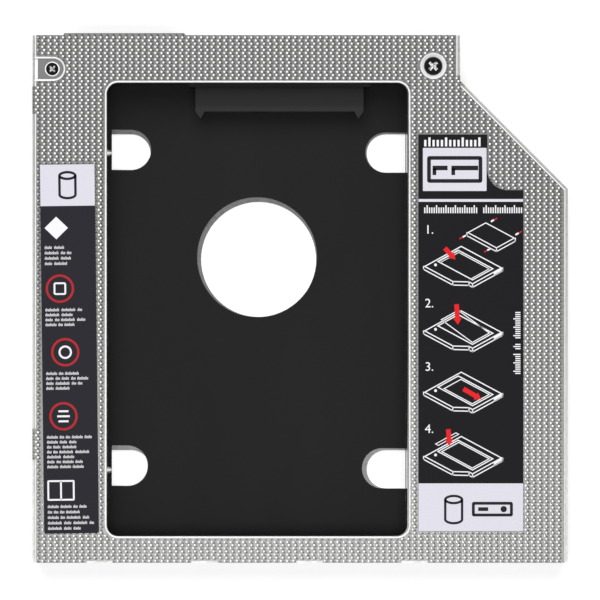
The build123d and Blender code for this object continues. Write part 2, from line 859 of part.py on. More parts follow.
def nodes():
    """All pieces by name."""
    chip_y = board_rear - chip_setback
    return {
        "top_cover": top_cover(),
        "bottom_cover": bottom_cover(),
        "inner_frame": inner_frame(),
        "floor_liner": floor_liner(),
        "circuit_board": circuit_board(),
        "drive_receptacle_housing": drive_receptacle_housing(),
        "drive_signal_contacts": receptacle_contacts(first_signal_x, signal_contact_count),
        "drive_power_contacts": receptacle_contacts(first_power_x, power_contact_count),
        "drive_receptacle_tabs": solder_tabs(receptacle_x, receptacle_width, board_front + board_gap),
        "host_plug_housing": host_plug_housing(),
        "host_signal_contacts": host_signal_contacts(),
        "host_power_contacts": host_power_contacts(),
        "host_plug_tabs": solder_tabs(host_x, host_plug_width, host_front + board_gap),
        "capacitors": chip_row(capacitor_size, capacitor_count, chip_y),
        "resistors": chip_row(resistor_size, resistor_count, chip_y + resistor_setback),
        "left_cover_screw": cover_screw(left_screw, left_head_radius),
        "right_cover_screw": cover_screw(right_screw, right_head_radius),
        "board_screws": board_screws(),
        "locating_pins": locating_pins(),
        "left_label": left_label(),
        "right_label": right_label(),
    }


os.makedirs("parts", exist_ok=True)
for name, shape in nodes().items():
    export_step(Compound(solids_of(shape)), f"parts/{name}.step")
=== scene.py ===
import random
from math import cos, pi, radians, sin

import bmesh
import bpy
from bpy.props import FloatProperty, FloatVectorProperty, PointerProperty
from mathutils import Matrix, Vector
from mathutils.bvhtree import BVHTree


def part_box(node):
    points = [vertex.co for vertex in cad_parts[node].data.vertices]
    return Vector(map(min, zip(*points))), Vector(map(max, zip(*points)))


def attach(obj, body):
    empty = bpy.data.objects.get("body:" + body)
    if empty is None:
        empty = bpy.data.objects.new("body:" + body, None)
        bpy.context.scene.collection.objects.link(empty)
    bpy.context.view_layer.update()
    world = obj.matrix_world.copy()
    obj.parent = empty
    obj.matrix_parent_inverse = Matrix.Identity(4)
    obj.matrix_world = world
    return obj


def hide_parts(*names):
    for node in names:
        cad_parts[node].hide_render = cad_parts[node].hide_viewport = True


bl_info = {
    "name": "Laptop Drive Caddy",
    "version": (1, 0, 0),
    "blender": (4, 5, 0),
    "location": "View3D > Sidebar > Drive Caddy",
    "description": "Embossed sheet, films, plastics, contacts and printed labels of a laptop drive caddy",
    "category": "Object",
}

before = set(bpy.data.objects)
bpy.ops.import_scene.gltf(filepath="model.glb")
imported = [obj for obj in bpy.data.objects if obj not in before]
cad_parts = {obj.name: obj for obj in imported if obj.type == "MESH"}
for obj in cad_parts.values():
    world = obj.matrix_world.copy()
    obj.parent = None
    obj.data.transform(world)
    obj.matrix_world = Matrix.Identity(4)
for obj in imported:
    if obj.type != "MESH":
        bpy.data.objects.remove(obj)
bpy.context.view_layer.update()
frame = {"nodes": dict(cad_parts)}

MM = 0.001
BODY = "root"
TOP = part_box("left_label")[0].z
DOT_SIZES = (1.0, 0.72, 0.45)
DOT_SIDES = 8
DRAWN_ACROSS = Vector((-0.0702, -0.0386))
DRAWN_ALONG = Vector((0.0784, -0.042))


def length(name, description, default):
    """Length property in metres."""
    return FloatProperty(name=name, description=description, default=default, unit="LENGTH", precision=5)


def colour(name, description, default):
    """Linear colour property."""
    return FloatVectorProperty(
        name=name, description=description, default=default, subtype="COLOR", size=3, min=0.0, max=1.0
    )


class EmbossSettings(bpy.types.PropertyGroup):
    """Dot pattern of the top sheet"""

    pitch: length("Pitch", "Distance from dot to dot along a row", 0.0015)
    row_pitch: length("Row pitch", "Distance from row to row", 0.000749)
    row_shift: length("Row shift", "How far every second row is moved to the left", 0.00045)
    first_x: length("First column", "Place of one dot across the sheet", -0.0612)
    first_y: length("First row", "Place of the rearmost row", 0.0625)
    radius: length("Dot radius", "Radius of a dot at its foot", 0.00038)
    height: length("Dot height", "Height of a dot over the sheet", 0.000095)
    margin: length("Margin", "Flat sheet that is left round a dot's foot", 0.00006)
    flat: colour("Flat", "Colour of the flat sheet", (0.125, 0.125, 0.123))
    # Painted shade beside the dots, where their flanks and the valleys between them fall in shade
    mark: colour("Mark", "Colour of the dark marks beside the dots", (0.013, 0.013, 0.013))
    # Painted highlight on the dot tops
    peak: colour("Peak", "Colour of the rubbed dot tops", (0.7, 0.7, 0.7))
    # Painted highlight on the bends and rolled rims
    edge: colour("Edge", "Colour of bent and rolled edges", (0.92, 0.92, 0.92))
    side: colour("Side", "Colour of the folded sides", (0.42, 0.42, 0.41))
    seat: colour("Seat", "Colour of the pressed screw seats", (0.11, 0.11, 0.11))


class FinishSettings(bpy.types.PropertyGroup):
    """Colours of the other metals and plastics"""

    pan: colour("Pan", "Bare aluminium of the pan", (0.45, 0.45, 0.44))
    # Painted shade on the pan's inner faces that look up
    pan_shade: colour("Pan inside", "Dull inner face of the pan", (0.075, 0.075, 0.075))
    frame: colour("Frame", "Moulded inner frame", (0.009, 0.009, 0.0095))
    film: colour("Film", "Black film on the bay floor", (0.0118, 0.0118, 0.012))
    connector: colour("Connector", "Connector housings", (0.0062, 0.0062, 0.0064))
    board: colour("Board", "Solder mask of the circuit board", (0.012, 0.09, 0.035))
    gold: colour("Gold", "Contact plating", (0.95, 0.66, 0.26))
    tin: colour("Tin", "Solder tabs and chip end caps", (0.68, 0.67, 0.65))
    capacitor: colour("Capacitor", "Capacitor bodies", (0.36, 0.24, 0.13))
    resistor: colour("Resistor", "Resistor bodies", (0.02, 0.02, 0.022))
    screw: colour("Screw", "Dark screw heads", (0.006, 0.006, 0.006))
    pin: colour("Pin", "Locating pins", (0.72, 0.72, 0.7))


class LabelSettings(bpy.types.PropertyGroup):
    """Printed labels"""

    sheet_height: length("Sheet", "Height of a label's film over the metal", 0.0001)
    field_height: length("Field", "Height of a printed field over the film", 0.00001)
    ink_height: length("Ink", "Height of printed lines and shapes over the film", 0.000015)
    red_height: length("Red ink", "Height of the red print, which lies over the white", 0.00002)
    black: colour("Black", "Film of the right label", (0.0045, 0.0042, 0.0056))
    slate: colour("Slate", "Film of the left label", (0.015, 0.0148, 0.0205))
    pale: colour("Pale", "Pale fields", (0.67, 0.66, 0.73))
    white: colour("White", "White print", (0.84, 0.84, 0.86))
    red: colour("Red", "Red arrows", (0.72, 0.014, 0.018))
    ring: colour("Ring", "Red rings", (0.42, 0.02, 0.026))
    dark: colour("Dark", "Dark print on the pale fields", (0.012, 0.012, 0.015))


class StageSettings(bpy.types.PropertyGroup):
    """Camera, lamps and floor"""

    distance: length("Distance", "Height of the camera over the top sheet", 0.795)
    view_width: length("View width", "Width of the view at the top sheet", 0.14335)
    centre_x: length("Centre X", "Where the camera looks down, across", -0.00006)
    centre_y: length("Centre Y", "Where the camera looks down, lengthways", -0.00024)
    ambient: FloatProperty(name="Ambient", description="Strength of the even light", default=0.38)
    key: FloatProperty(name="Key", description="Power of the large soft lamp", default=9.5, unit="POWER")
    front: FloatProperty(name="Front", description="Power of the lamp in front", default=1.3, unit="POWER")


class Graph:
    """The nodes of one material round its Principled shader."""

    def __init__(self, name, **constants):
        self.material = bpy.data.materials.new(name)
        self.material.use_nodes = True
        self.nodes = self.material.node_tree.nodes
        self.links = self.material.node_tree.links
        self.shader = self.nodes["Principled BSDF"]
        for key, value in constants.items():
            self.shader.inputs[key.replace("_", " ")].default_value = value
        self.where = self.add("ShaderNodeTexCoord").outputs["Object"]

    def add(self, kind, inputs=None, **settings):
        """New node, with its settings and its inputs joined or set."""
        node = self.nodes.new(kind)
        for key, value in settings.items():
            setattr(node, key, value)
        for key, value in (inputs or {}).items():
            self.put(node.inputs[key], value)
        return node

    def put(self, socket, value):
        """Joins a socket to an output, or sets its value."""
        if isinstance(value, bpy.types.NodeSocket):
            self.links.new(value, socket)
        else:
            socket.default_value = value

    def calc(self, operation, first, second=0.0):
        """Result of one Math node."""
        return self.add("ShaderNodeMath", {0: first, 1: second}, operation=operation).outputs[0]

    def axes(self, vector=None):
        """X, Y and Z of a vector, of the Object coordinates if none is given."""
        return self.add("ShaderNodeSeparateXYZ", {0: vector or self.where}).outputs

    def upward(self):
        """How far the surface faces up, from -1 to 1."""
        return self.axes(self.add("ShaderNodeNewGeometry").outputs["Normal"])[2]

    def product(self, first, second):
        """Product of two values."""
        return self.calc("MULTIPLY", first, second)

    def noise(self, scale, detail=3.0, stretch=(1, 1, 1)):
        """Noise over the Object coordinates, scale in cells per metre."""
        vector = self.add("ShaderNodeMapping", {"Vector": self.where, "Scale": stretch}).outputs[0]
        node = self.add("ShaderNodeTexNoise", {"Vector": vector, "Scale": scale, "Detail": detail})
        return node.outputs["Fac"]

    def span(self, value, low, high, new_low=0.0, new_high=1.0, smooth=False):
        """Value mapped from one range to another, and held at its ends."""
        kind = "SMOOTHSTEP" if smooth else "LINEAR"
        inputs = {"Value": value, "From Min": low, "From Max": high, "To Min": new_low, "To Max": new_high}
        return self.add("ShaderNodeMapRange", inputs, interpolation_type=kind).outputs["Result"]

    def mix(self, share, first, second):
        """Blend of two colours."""
        ends = [end if isinstance(end, bpy.types.NodeSocket) else (*end, 1.0) for end in (first, second)]
        node = self.add("ShaderNodeMix", data_type="RGBA")
        factor, colour_a, colour_b, result = 0, 6, 7, 2
        for index, value in zip((factor, colour_a, colour_b), (share, *ends)):
            self.put(node.inputs[index], value)
        return node.outputs[result]

    def tint(self, base, share, spread):
        """Base colour made a little darker and lighter where a pattern says."""
        dark = [level * (1 - spread) for level in base]
        light = [min(1.0, level * (1 + spread)) for level in base]
        return self.mix(share, dark, light)

    def bump(self, height, depth, strength=1.0):
        """Bends the shader's normal by a height pattern, depth in metres."""
        node = self.add("ShaderNodeBump", {"Height": height, "Distance": depth, "Strength": strength})
        self.links.new(node.outputs[0], self.shader.inputs["Normal"])

    def finish(self, base=None, roughness=None):
        """Joins colour and roughness to the shader and gives the material."""
        for key, value in (("Base Color", base), ("Roughness", roughness)):
            if value is not None:
                self.links.new(value, self.shader.inputs[key])
        return self.material


def painted_dot_shade(graph, emboss):
    """Painted shade at the lower right of every dot, in place of the shaded flank and valley beside it,
    from the rows that the dots themselves follow.
    """
    x, y, z = graph.axes()
    right_of_dot, below_dot = 2.3, 1.9
    row_turn = graph.product(graph.calc("SUBTRACT", y, emboss.first_y), pi / emboss.row_pitch)
    swing = graph.product(graph.calc("COSINE", row_turn), -emboss.row_shift / 2)
    moved = graph.calc("SUBTRACT", x, emboss.first_x - emboss.row_shift / 2)
    turn = graph.product(graph.calc("ADD", moved, swing), 2 * pi / emboss.pitch)
    right = graph.calc("COSINE", graph.calc("SUBTRACT", turn, right_of_dot))
    below = graph.calc("COSINE", graph.calc("ADD", graph.product(row_turn, 2.0), below_dot))
    mark = graph.product(graph.span(right, 0.1, 1.0, smooth=True), graph.span(below, -0.4, 1.0, 0.25, 1.0))
    return graph.product(mark, graph.span(z, TOP - 0.08 * MM, TOP - 0.02 * MM))


def seat_highlight(graph):
    """Painted highlight: a bright ring round the left screw, and a bright strip at the open end of its
    seat.
    """
    x, y, _ = graph.axes()
    low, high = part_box("left_cover_screw")
    across = graph.calc("POWER", graph.calc("SUBTRACT", x, (low.x + high.x) / 2), 2.0)
    along = graph.calc("POWER", graph.calc("SUBTRACT", y, (low.y + high.y) / 2), 2.0)
    reach = graph.calc("SQRT", graph.calc("ADD", across, along))
    margin, margin_blur = 0.2 * MM, 0.08 * MM
    strip, strip_blur = 1.1 * MM, 0.15 * MM
    ring = (high.x - low.x) / 2 + margin
    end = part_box("top_cover")[0].x + strip
    # Painted highlight ring round the screw head and strip at the seat's open end
    ring_highlight = graph.span(reach, ring + margin_blur, ring)
    end_highlight = graph.span(x, end + strip_blur, end)
    return graph.calc("MAXIMUM", ring_highlight, end_highlight)


def sheet_material(emboss):
    """Embossed aluminium: painted shade by the dots, grain, darker pressed seats, and painted highlights on
    bends and rims, round the left screw and at the open end of its seat.
    """
    graph = Graph("embossed_sheet")
    grain = graph.noise(9000.0, 4.0)
    # Painted shade by the dots, mixed over the grained flat sheet
    base = graph.mix(painted_dot_shade(graph, emboss), graph.tint(emboss.flat, grain, 0.28), emboss.mark)
    seat = graph.span(graph.axes()[2], TOP - 0.4 * MM, TOP - 0.75 * MM)
    base = graph.mix(seat, base, graph.tint(emboss.seat, grain, 0.35))
    slope = graph.calc("ABSOLUTE", graph.upward())
    # Painted highlight on the bends and rims, round the left screw and at the seat's open end
    highlight = graph.calc("MAXIMUM", graph.span(slope, 0.9995, 0.97), graph.product(seat_highlight(graph), seat))
    base = graph.mix(highlight, base, emboss.edge)
    base = graph.mix(graph.span(slope, 0.12, 0.02), base, graph.tint(emboss.side, grain, 0.2))
    # Less metallic where the painted highlight lies
    graph.links.new(graph.span(highlight, 0.0, 1.0, 0.85, 0.12), graph.shader.inputs["Metallic"])
    graph.bump(grain, 0.01 * MM, 0.6)
    return graph.finish(base, graph.span(graph.noise(2500.0), 0.3, 0.7, 0.28, 0.4))


def peak_material(emboss):
    """Dots of the embossed sheet: flanks like the sheet, tops with a painted highlight that varies in
    patches.
    """
    graph = Graph("painted_highlight_peaks", Metallic=0.5)
    # Painted highlight on the tops of the dots, in patches
    top = graph.span(graph.upward(), 0.86, 0.95, smooth=True)
    glint_patches = graph.span(graph.noise(1400.0, 2.0), 0.25, 0.6, 0.75, 1.0)
    base = graph.mix(graph.product(top, glint_patches), emboss.flat, emboss.peak)
    return graph.finish(base, graph.span(glint_patches, 0.75, 1.0, 0.45, 0.3))


def metal_material(name, base, roughness, spread=0.12, stretch=(1, 1, 1), scale=900.0):
    """Bare or plated metal with cloudy tone, fine lines and uneven gloss."""
    graph = Graph(name, Metallic=1.0)
    cloud = graph.noise(scale, 4.0)
    lines = graph.noise(6000.0, 2.0, stretch)
    tone = graph.tint(base, graph.product(graph.calc("ADD", cloud, lines), 0.5), spread)
    graph.bump(lines, 0.004 * MM, 0.5)
    return graph.finish(tone, graph.span(cloud, 0.3, 0.7, roughness * 0.8, roughness * 1.25))


def pan_material(finish):
    """Bare aluminium with fine lines, with painted shade on the faces that look up, darker deeper in the
    bay.
    """
    graph = Graph("bare_pan", Metallic=0.9)
    cloud = graph.noise(900.0, 4.0)
    lines = graph.noise(6000.0, 2.0, (0.04, 1.0, 1.0))
    tone = graph.tint(finish.pan, graph.product(graph.calc("ADD", cloud, lines), 0.5), 0.16)
    # Painted shade, stronger deeper in the bay
    deep = graph.span(graph.axes()[2], 12 * MM, 2 * MM, 0.6, 1.0)
    painted_shade = graph.product(graph.span(graph.upward(), 0.3, 0.7), deep)
    tone = graph.mix(painted_shade, tone, graph.tint(finish.pan_shade, cloud, 0.3))
    graph.bump(lines, 0.004 * MM, 0.5)
    return graph.finish(tone, graph.span(cloud, 0.3, 0.7, 0.28, 0.42))


def plastic_material(name, base, roughness, grain_scale=5200.0, depth=0.012 * MM, shine=0.15):
    """Moulded plastic or film with fine grain and faint flow marks."""
    graph = Graph(name, Specular_IOR_Level=shine)
    grain = graph.noise(grain_scale, 3.0)
    flow = graph.noise(60.0, 2.0, (1.0, 0.3, 1.0))
    graph.bump(grain, depth, 0.55)
    tone = graph.tint(base, flow, 0.18)
    return graph.finish(tone, graph.span(grain, 0.3, 0.7, roughness * 0.9, roughness * 1.15))


def receptacle_material(finish):
    """Housing of the drive receptacle: painted shadow under the rear rail, and painted light along its
    front lip.
    """
    graph = Graph("receptacle_housing", Specular_IOR_Level=0.12)
    low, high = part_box("drive_receptacle_housing")
    lip = low.y + 3.3 * MM
    y = graph.axes()[1]
    grain = graph.noise(7000.0, 3.0)
    # Painted shadow under the rear rail and painted light on the front lip
    shaded, lit = ([share * level for level in finish.connector] for share in (0.3, 2.1))
    base = graph.mix(graph.span(y, high.y - 1.0 * MM, lip), shaded, finish.connector)
    base = graph.mix(graph.span(y, lip, lip - 0.6 * MM), base, lit)
    graph.bump(grain, 0.012 * MM, 0.55)
    return graph.finish(base, graph.span(grain, 0.3, 0.7, 0.4, 0.52))


def screw_material(name, base, floor_z):
    """Dark screw with a speckled, paler recess floor below a height, a painted highlight in the cross
    recess.
    """
    graph = Graph(name, Metallic=1.0)
    z = graph.axes()[2]
    floor = graph.span(z, floor_z + 0.12 * MM, floor_z)
    tone = graph.tint(base, graph.noise(2600.0, 4.0), 0.4)
    # Painted highlight in the cross recess, in speckles
    glint_patches = graph.span(graph.noise(2800.0, 2.0), 0.4, 0.58)
    recess_glint = graph.mix(glint_patches, *([times * level for level in base] for times in (10, 90)))
    tone = graph.mix(floor, tone, recess_glint)
    return graph.finish(tone, graph.span(graph.noise(3000.0), 0.3, 0.7, 0.28, 0.42))


def chip_material(name, body, cap, first_x, pitch, cap_start):
    """Chip component: ceramic in the middle, plated end caps, told apart by place along the row."""
    graph = Graph(name, Specular_IOR_Level=0.5)
    x = graph.axes()[0]
    step = graph.calc("DIVIDE", graph.calc("SUBTRACT", x, first_x - pitch / 2), pitch)
    along = graph.calc("ABSOLUTE", graph.calc("SUBTRACT", graph.calc("FRACT", step), 0.5))
    ends = graph.calc("GREATER_THAN", along, cap_start / pitch)
    ceramic, plating = graph.tint(body, graph.noise(2400.0), 0.2), graph.tint(cap, graph.noise(3000.0), 0.1)
    tone = graph.mix(ends, ceramic, plating)
    graph.links.new(ends, graph.shader.inputs["Metallic"])
    return graph.finish(tone, graph.span(ends, 0.0, 1.0, 0.5, 0.32))


def board_material(base):
    """Solder mask over faint copper tracks."""
    graph = Graph("solder_mask", Coat_Weight=0.3)
    inputs = {"Vector": graph.where, "Scale": 320.0, "Mortar Size": 0.12}
    tracks = graph.add("ShaderNodeTexBrick", inputs).outputs["Fac"]
    tone = graph.mix(tracks, base, [1.9 * level for level in base])
    graph.bump(tracks, 0.02 * MM, 0.6)
    return graph.finish(tone, graph.span(graph.noise(900.0), 0.3, 0.7, 0.3, 0.42))


def ink_material(name, base, roughness=0.52):
    """Printed or film surface with slight mottling and the sheen of laminate."""
    graph = Graph(name, Specular_IOR_Level=0.08)
    mottle = graph.noise(3200.0, 3.0)
    graph.bump(graph.noise(700.0, 2.0), 0.008 * MM, 0.4)
    tone = graph.tint(base, mottle, 0.1)
    return graph.finish(tone, graph.span(mottle, 0.3, 0.7, roughness * 0.85, roughness * 1.15))


def label_inks(look):
    """The inks of the labels by name, made once."""
    made = {}
    for name in ("black", "slate", "pale", "white", "red", "ring", "dark"):
        title = "label_" + name
        base = tuple(getattr(look, name))
        made[name] = bpy.data.materials.get(title) or ink_material(title, base)
    return made


def dress(material, *names):
    """Gives CAD nodes a better material."""
    for name in names:
        for slot in frame["nodes"][name].material_slots:
            slot.material = material


def piece(name, bm, material, replaced=()):
    """Object from a finished bmesh, riding on the body and carrying its material."""
    mesh = bpy.data.meshes.new(name)
    bm.to_mesh(mesh)
    bm.free()
    mesh.materials.append(material)
    made = bpy.data.objects.new(name, mesh)
    bpy.context.scene.collection.objects.link(made)
    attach(made, BODY)
    if replaced:
        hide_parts(*replaced)
    return made


def mesh_tree(name):
    """Search tree over a CAD node's mesh."""
    mesh = frame["nodes"][name].data
    places = [vert.co for vert in mesh.vertices]
    faces = [tuple(face.vertices) for face in mesh.polygons]
    return BVHTree.FromPolygons(places, faces)


def flat_all_round(trees, spot, ring):
    """True if the sheet's flat top lies under a spot and all round it, with no label there."""
    sheet, *covers = trees
    down, near = Vector((0, 0, -1)), 0.01 * MM
    for offset in [Vector((0, 0, 0)), *ring]:
        start = spot + offset
        hit = sheet.ray_cast(start, down)
        if hit[0] is None or abs(hit[0].z - TOP) > near:
            return False
        if any(cover.ray_cast(start, down)[0] is not None for cover in covers):
            return False
    return True


def dot_shape(emboss, size):
    """Mesh of one low dot with a rounded top, its foot sunk a little into the sheet."""
    sunk = 0.02 * MM
    radius = size * emboss.radius
    shoulder, rim, crown = 0.62 * emboss.height, 0.7 * radius, 0.4 * radius
    bm = bmesh.new()
    bmesh.ops.create_cone(
        bm,
        cap_ends=True,
        segments=DOT_SIDES,
        radius1=radius,
        radius2=rim,
        depth=shoulder + sunk,
        matrix=Matrix.Translation((0, 0, (shoulder - sunk) / 2)),
    )
    cap = max(bm.faces, key=lambda face: face.calc_center_median().z)
    bmesh.ops.inset_region(
        bm, faces=[cap], thickness=crown, depth=emboss.height - shoulder, use_even_offset=True
    )
    for face in bm.faces:
        face.smooth = face.normal.z > -0.5
    mesh = bpy.data.meshes.new("dot_shape")
    bm.to_mesh(mesh)
    bm.free()
    return mesh


def stamp(bm, mesh, places):
    """Adds a copy of a mesh at every place."""
    last = Vector((0, 0, 0))
    for place in places:
        mesh.transform(Matrix.Translation(place - last))
        bm.from_mesh(mesh)
        last = place
    bpy.data.meshes.remove(mesh)


class CADDY_OT_emboss(bpy.types.Operator):
    """Covers the flat of the top sheet with rows of low dots"""

    bl_idname = "caddy.emboss"
    bl_label = "Embossed Dots"

    def execute(self, context):
        emboss = context.scene.caddy_emboss
        low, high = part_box("top_cover")
        rings = {}
        for size in DOT_SIZES:
            reach = Vector((size * emboss.radius + emboss.margin, 0, 0))
            turns = [Matrix.Rotation(step * 2 * pi / DOT_SIDES, 3, "Z") for step in range(DOT_SIDES)]
            rings[size] = [turn @ reach for turn in turns]
        trees = [mesh_tree(name) for name in ("top_cover", "left_label", "right_label")]
        places = {size: [] for size in DOT_SIZES}
        for row in range(int((emboss.first_y - low.y) / emboss.row_pitch) + 1):
            y = emboss.first_y - row * emboss.row_pitch
            x = emboss.first_x - 2 * emboss.pitch - (row % 2) * emboss.row_shift
            while x < high.x:
                spot = Vector((x, y, high.z + MM))
                fits = [size for size in DOT_SIZES if flat_all_round(trees, spot, rings[size])]
                if fits:
                    places[fits[0]].append(Vector((x, y, TOP)))
                x += emboss.pitch
        bm = bmesh.new()
        for size in DOT_SIZES:
            stamp(bm, dot_shape(emboss, size), places[size])
        piece("embossed_dots", bm, peak_material(emboss))
        return {"FINISHED"}


class CADDY_OT_sheet_metal(bpy.types.Operator):
    """Finishes the top sheet and the pan"""

    bl_idname = "caddy.sheet_metal"
    bl_label = "Sheet Metal"

    def execute(self, context):
        dress(sheet_material(context.scene.caddy_emboss), "top_cover")
        dress(pan_material(context.scene.caddy_finish), "bottom_cover")
        return {"FINISHED"}


class CADDY_OT_plastics(bpy.types.Operator):
    """Finishes the frame, the bay film and both connector housings"""

    bl_idname = "caddy.plastics"
    bl_label = "Plastics"

    def execute(self, context):
        finish = context.scene.caddy_finish
        moulding = plastic_material("moulded_frame", finish.frame, 0.12, depth=0.001 * MM, shine=0.5)
        dress(moulding, "inner_frame")
        film = plastic_material("bay_film", finish.film, 0.6, 8000.0, 0.01 * MM, shine=0.07)
        dress(film, "floor_liner")
        dress(receptacle_material(finish), "drive_receptacle_housing")
        plug = plastic_material("plug_housing", finish.connector, 0.45, 7000.0, shine=0.12)
        dress(plug, "host_plug_housing")
        return {"FINISHED"}


class CADDY_OT_contacts(bpy.types.Operator):
    """Finishes the contacts and the solder tabs of both connectors"""

    bl_idname = "caddy.contacts"
    bl_label = "Contacts"

    def execute(self, context):
        finish = context.scene.caddy_finish
        gold = metal_material("gold_plating", finish.gold, 0.24, 0.1, (1.0, 0.1, 1.0))
        dress(gold, "drive_signal_contacts", "drive_power_contacts")
        dress(gold, "host_signal_contacts", "host_power_contacts")
        tin = metal_material("tin_plating", finish.tin, 0.38)
        dress(tin, "drive_receptacle_tabs", "host_plug_tabs")
        return {"FINISHED"}


class CADDY_OT_board(bpy.types.Operator):
    """Finishes the circuit board and its chip components"""

    bl_idname = "caddy.board"
    bl_label = "Circuit Board"

    def execute(self, context):
        finish = context.scene.caddy_finish
        dress(board_material(finish.board), "circuit_board")
        pitch, count = 5 * MM, 4
        for name, body in (("capacitors", finish.capacitor), ("resistors", finish.resistor)):
            low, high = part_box(name)
            first = (low.x + high.x) / 2 - (count - 1) / 2 * pitch
            chip = high.x - low.x - (count - 1) * pitch
            ceramic = chip_material(name + "_ceramic", body, finish.tin, first, pitch, cap_start=0.3 * chip)
            dress(ceramic, name)
        return {"FINISHED"}


class CADDY_OT_fasteners(bpy.types.Operator):
    """Finishes the screws and the locating pins"""

    bl_idname = "caddy.fasteners"
    bl_label = "Screws and Pins"

    def execute(self, context):
        finish = context.scene.caddy_finish
        recess = 0.45 * MM
        cover_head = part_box("left_cover_screw")[1].z
        cover_screw = screw_material("dark_screw", finish.screw, cover_head - recess)
        dress(cover_screw, "left_cover_screw", "right_cover_screw")
        board_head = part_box("board_screws")[1].z
        dress(screw_material("board_screw", finish.screw, board_head - recess), "board_screws")
        dress(metal_material("pin_metal", finish.pin, 0.3), "locating_pins")
        return {"FINISHED"}


def faces_at(verts):
    """The faces that meet at some vertices."""
    return list({face for vert in verts for face in vert.link_faces})


class Print:
    """Flat printed shapes of one ink, gathered in one mesh; sizes in mm."""

    def __init__(self, centre=(0.0, 0.0), turn=0.0):
        self.bm = bmesh.new()
        self.place = Matrix.Translation((centre[0] * MM, centre[1] * MM, 0)) @ Matrix.Rotation(turn, 4, "Z")

    def area(self, corners):
        """Filled shape from its corners."""
        face = self.bm.faces.new([self.bm.verts.new((x * MM, y * MM, 0)) for x, y in corners])
        face.normal_update()
        return face

    def hollow(self, faces, width):
        """Leaves only an outline of shapes, as wide as a line."""
        bmesh.ops.inset_individual(self.bm, faces=faces, thickness=width * MM, use_even_offset=True)
        bmesh.ops.delete(self.bm, geom=faces, context="FACES_ONLY")

    def outline(self, corners, width):
        """Closed line along some corners."""
        self.hollow([self.area(corners)], width)

    def bar(self, x, y, wide, high, angle=0.0):
        """Bar about its middle."""
        matrix = Matrix.Translation((x * MM, y * MM, 0)) @ Matrix.Rotation(angle, 4, "Z")
        matrix = matrix @ Matrix.Diagonal((wide * MM, high * MM, 1, 1))
        bmesh.ops.create_grid(self.bm, x_segments=1, y_segments=1, size=0.5, matrix=matrix)

    def line(self, start, end, width):
        """Straight line from point to point."""
        run = Vector(end) - Vector(start)
        middle = (Vector(end) + Vector(start)) / 2
        self.bar(middle.x, middle.y, run.length + width, width, run.angle_signed(Vector((1, 0))))

    def disc(self, x, y, radius, width=0.0, squash=1.0, segments=36):
        """Disc, or a ring where it has a line width."""
        matrix = Matrix.Translation((x * MM, y * MM, 0)) @ Matrix.Diagonal((1, squash, 1, 1))
        made = bmesh.ops.create_circle(
            self.bm, cap_ends=True, segments=segments, radius=radius * MM, matrix=matrix
        )
        if width:
            self.hollow(faces_at(made["verts"]), width)

    def box(self, x, y, wide, high, corner, width=0.0):
        """Rounded box about its middle, or its outline where it has a line width."""
        half_x, half_y = wide / 2 - corner, high / 2 - corner
        sides = ((-1, -1), (1, -1), (1, 1), (-1, 1))
        face = self.area([(x + side_x * wide / 2, y + side_y * high / 2) for side_x, side_y in sides])
        if corner and min(half_x, half_y) > 0:
            made = bmesh.ops.bevel(
                self.bm,
                geom=list(face.verts),
                offset=corner * MM,
                segments=5,
                profile=0.5,
                affect="VERTICES",
                material=-1,
            )
            face = max(faces_at(made["verts"]), key=lambda item: item.calc_area())
        if width:
            self.hollow([face], width)

    def ticks(self, x, y, lengths, high, gap=0.5, weight=0.16, upright=False):
        """Groups of plain ticks on a base line, along X or up the label."""
        wide = weight * high
        pitch, low_tick, fewest, cycle = 1.85 * wide, 0.72 * high, 2, 4
        for group in lengths:
            for index in range(max(fewest, round(group / pitch))):
                along = wide / 2 + index * pitch
                tall = high if index % cycle == 1 else low_tick
                if upright:
                    self.bar(x - tall / 2, y + along, tall, wide)
                else:
                    self.bar(x + along, y + tall / 2, wide, tall)
            if upright:
                y += group + gap
            else:
                x += group + gap

    def numeral(self, digits, x, y, high):
        """Plain numeral from its lower left corner."""
        curve = bpy.data.curves.new("numeral", "FONT")
        curve.body = digits
        height_share = 0.7
        curve.size = high * MM / height_share
        holder = bpy.data.objects.new("numeral", curve)
        bpy.context.scene.collection.objects.link(holder)
        bpy.context.view_layer.update()
        mesh = bpy.data.meshes.new_from_object(holder.evaluated_get(bpy.context.evaluated_depsgraph_get()))
        bpy.data.objects.remove(holder)
        mesh.transform(Matrix.Translation((x * MM, y * MM, 0)))
        self.bm.from_mesh(mesh)
        bpy.data.meshes.remove(mesh)

    def make(self, name, low, high, material, replaced=()):
        """Raises the shapes to a closed layer between two heights."""
        bm, weld = self.bm, 0.0005 * MM
        bmesh.ops.remove_doubles(bm, verts=bm.verts, dist=weld)
        bmesh.ops.transform(bm, matrix=Matrix.Translation((0, 0, low)) @ self.place, verts=bm.verts)
        raised = bmesh.ops.extrude_face_region(bm, geom=bm.faces[:])
        verts = [item for item in raised["geom"] if isinstance(item, bmesh.types.BMVert)]
        bmesh.ops.translate(bm, verts=verts, vec=(0, 0, high - low))
        bmesh.ops.recalc_face_normals(bm, faces=bm.faces)
        return piece(name, bm, material, replaced)


def can_icon(ink, x, y, wide, high, line):
    """Plain can shape that stands for storage."""
    half, squash, steps = wide / 2, 0.5, 18
    top, foot = y + high / 2 - half * squash, y - high / 2 + half * squash
    turns = [step * pi / steps for step in range(steps + 1)]
    upper = [(x + half * cos(turn), top + half * squash * sin(turn)) for turn in turns]
    lower = [(x - half * cos(turn), foot - half * squash * sin(turn)) for turn in turns]
    ink.outline(upper + lower, line)
    ink.disc(x, top, half, line, squash)


def diamond(ink, left, y, half_wide, half_high):
    """Filled diamond from its left corner."""
    x = left + half_wide
    ink.area([(x, y + half_high), (left, y), (x, y - half_high), (x + half_wide, y)])


